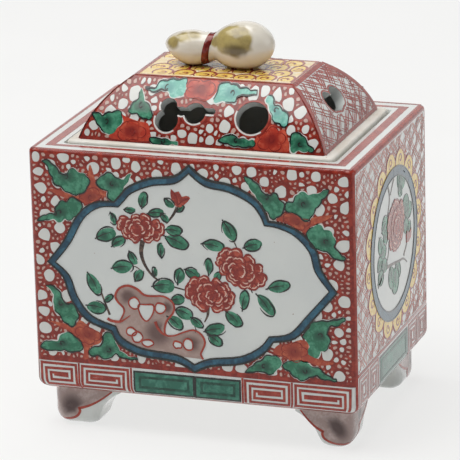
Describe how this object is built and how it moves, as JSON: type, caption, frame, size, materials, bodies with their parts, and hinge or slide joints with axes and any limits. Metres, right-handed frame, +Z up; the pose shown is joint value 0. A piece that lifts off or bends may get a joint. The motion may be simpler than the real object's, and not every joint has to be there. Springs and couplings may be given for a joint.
{
  "type": "incense burner",
  "caption": "Rectangular porcelain incense burner on bracket feet, with a pierced domed lid that lifts off by a gourd-shaped knob.",
  "frame": {"origin": "on the ground, under the middle of the four feet", "axes": "+Z up, +X to the right and -Y out of the front wall, as seen by someone who faces the front wall"},
  "size_m": [0.092, 0.068, 0.1091],
  "materials": {
    "porcelain": "clear gloss glaze over white porcelain",
    "red_ground": "iron red enamel over gloss glaze",
    "hatch_ground": "fine red lines over gloss glaze",
    "yellow_ground": "yellow enamel over gloss glaze",
    "foot_glaze": "thin purple-brown enamel over gloss glaze",
    "bare_clay": "unglazed cream porcelain, matt",
    "gourd_glaze": "gloss glaze with olive patches",
    "red_enamel": "thick dark red enamel"
  },
  "bodies": {
    "vessel": {"floor_slab": "porcelain", "front_wall": "red_ground", "back_wall": "red_ground", "left_wall": "hatch_ground", "right_wall": "hatch_ground", "front_rim": "porcelain", "back_rim": "porcelain", "left_rim": "porcelain", "right_rim": "porcelain", "front_left_foot": "foot_glaze", "front_right_foot": "foot_glaze", "back_left_foot": "foot_glaze", "back_right_foot": "foot_glaze"},
    "lid": {"lid_flange": "bare_clay", "lid_collar": "bare_clay", "lid_front_panel": "red_ground", "lid_back_panel": "red_ground", "lid_left_panel": "hatch_ground", "lid_right_panel": "hatch_ground", "lid_top_slab": "yellow_ground", "gourd": "gourd_glaze", "gourd_tie": "red_enamel"}
  },
  "joints": [
    {"name": "lid_lift", "type": "slide", "parent": "vessel", "child": "lid", "axis": [0, 0, 1], "range_m": [0, 0.05]}
  ]
}
